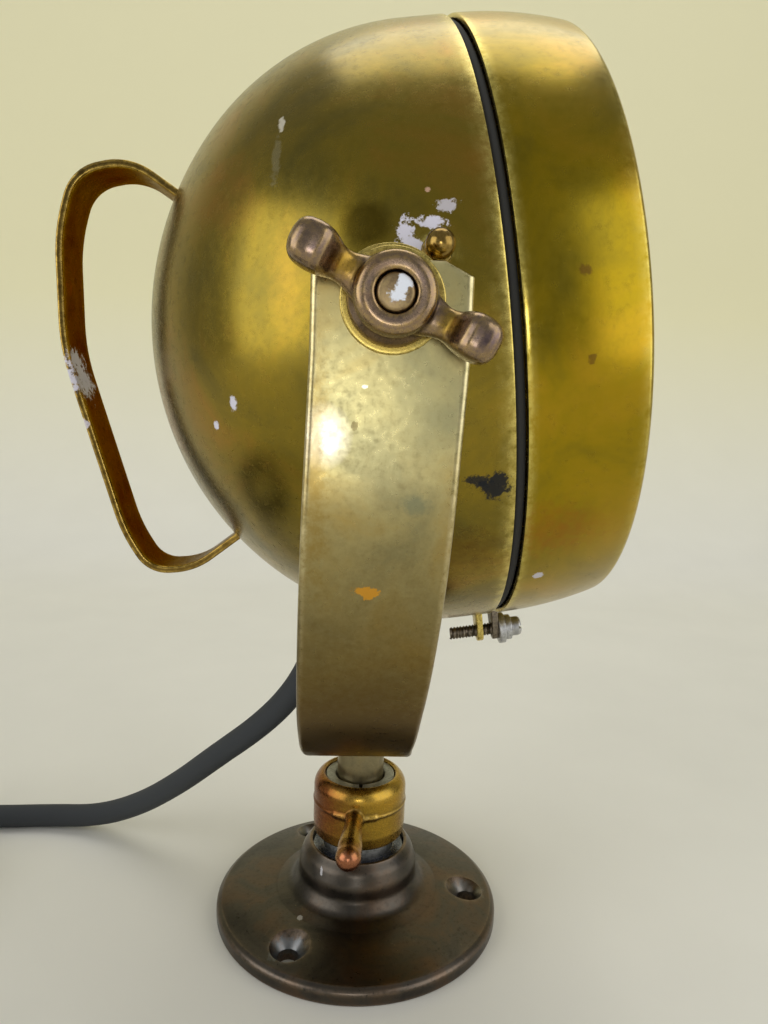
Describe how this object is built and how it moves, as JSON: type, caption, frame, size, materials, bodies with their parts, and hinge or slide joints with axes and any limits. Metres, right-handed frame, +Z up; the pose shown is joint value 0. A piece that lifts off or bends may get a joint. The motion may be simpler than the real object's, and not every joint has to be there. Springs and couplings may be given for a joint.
{
  "type": "signal lamp",
  "caption": "Marine signalling lamp: a round metal head with a rear grip, tilting in a U-shaped yoke on a swivelling post and a screw-down foot.",
  "frame": {"origin": "centre of the foot's underside", "axes": "+Z up along the post, +X the way the lamp shines at rest, pivots along Y"},
  "size_m": [0.311, 0.224, 0.2649],
  "materials": {
    "foot_bronze": "dark patinated bronze casting",
    "nut_brass": "brown-gold cast brass",
    "neck_steel": "grey steel",
    "post_brass": "dull pale brass",
    "yoke_brass": "brushed aged brass",
    "bowl_brass": "aged brass with brown patina",
    "rim_brass": "polished brass, lightly aged",
    "handle_brass": "dark brown brass",
    "wing_brass": "worn brown brass",
    "stud_brass": "brown-grey brass",
    "washer_brass": "yellow brass",
    "washer_zinc": "light grey zinc-plated steel",
    "screw_steel": "dark oiled steel",
    "key_brass": "polished dark brass",
    "spring_bronze": "phosphor bronze",
    "lens_glass": "clear domed glass",
    "lamp_glass": "clear bulb glass",
    "reflector_silver": "polished silvered",
    "holder_bakelite": "dark brown phenolic",
    "cap_steel": "bright cap",
    "seal_rubber": "black rubber",
    "cord_rubber": "black rubber sheath"
  },
  "bodies": {
    "base": {"base_flange": "foot_bronze", "clamping_neck": "neck_steel", "thrust_washer": "neck_steel", "cord_lower": "cord_rubber", "cord_coil": "cord_rubber", "cord_tail": "cord_rubber", "plug_relief": "cord_rubber", "plug_body": "cord_rubber", "plug_pins": "washer_brass"},
    "lock_nut": {"lock_nut": "nut_brass"},
    "yoke": {"post": "post_brass", "post_circlip": "neck_steel", "post_washer": "washer_brass", "post_nut": "washer_brass", "yoke": "yoke_brass", "cord_upper": "cord_rubber"},
    "head": {"pivot_boss_near": "bowl_brass", "pivot_boss_far": "bowl_brass", "pivot_doubler_near": "bowl_brass", "pivot_doubler_far": "bowl_brass", "friction_washer_near": "washer_brass", "friction_washer_far": "washer_brass", "wing_washer_near": "washer_brass", "wing_washer_far": "washer_brass", "pivot_stud_near": "stud_brass", "pivot_stud_far": "stud_brass", "rear_shell": "bowl_brass", "spigot_ring": "bowl_brass", "seam_seal": "seal_rubber", "reflector": "reflector_silver", "reflector_screws": "screw_steel", "lamp_holder": "holder_bakelite", "bulb_cap": "cap_steel", "bulb_glass": "lamp_glass", "shell_lug": "rim_brass", "handle": "handle_brass", "handle_nuts": "washer_brass", "key_bush": "washer_brass", "key_block": "holder_bakelite", "key_contact": "spring_bronze", "cable_gland": "nut_brass", "gland_nut": "washer_brass", "cord_end": "cord_rubber", "lead_to_holder": "cord_rubber", "lead_to_key": "cord_rubber"},
    "wing_nut_near": {"wing_nut_near": "wing_brass"},
    "wing_nut_far": {"wing_nut_far": "wing_brass"},
    "front": {"front_rim": "rim_brass", "front_glass": "lens_glass", "glass_seal": "seal_rubber", "glass_clips": "spring_bronze", "rim_lug": "rim_brass", "clamp_washer": "washer_zinc", "clamp_spring_washer": "washer_zinc"},
    "clamp_screw": {"clamp_screw": "screw_steel"},
    "key": {"signal_key": "key_brass", "key_leaf": "spring_bronze"}
  },
  "joints": [
    {"name": "yoke_pan", "type": "hinge", "parent": "base", "child": "yoke", "pos_m": [0, 0, 0.03], "axis": [0, 0, 1], "range_deg": [-150, 150], "deforming": ["cord_upper", "cord_lower"]},
    {"name": "lock_nut_turn", "type": "hinge", "parent": "base", "child": "lock_nut", "pos_m": [0, 0, 0.036], "axis": [0, 0, 1], "range_deg": [-30, 120]},
    {"name": "head_tilt", "type": "hinge", "parent": "yoke", "child": "head", "pos_m": [0, 0, 0.179], "axis": [0, -1, 0], "range_deg": [-60, 60], "deforming": ["cord_upper"]},
    {"name": "wing_nut_near_turn", "type": "hinge", "parent": "head", "child": "wing_nut_near", "pos_m": [0, -0.1, 0.179], "axis": [0, -1, 0], "range_deg": [0, 270]},
    {"name": "wing_nut_far_turn", "type": "hinge", "parent": "head", "child": "wing_nut_far", "pos_m": [0, 0.1, 0.179], "axis": [0, 1, 0], "range_deg": [0, 270]},
    {"name": "front_slide", "type": "slide", "parent": "head", "child": "front", "axis": [0.9895, 0, 0.1444], "range_m": [0, 0.045]},
    {"name": "clamp_screw_turn", "type": "hinge", "parent": "front", "child": "clamp_screw", "pos_m": [0.04491, -0.00664, 0.09627], "axis": [0.9895, 0, 0.1444], "continuous": true},
    {"name": "signal_key_press", "type": "slide", "parent": "head", "child": "key", "axis": [0, 1, 0], "range_m": [0, 0.002], "stiffness_N_per_m": 800, "springref_m": -0.001}
  ]
}
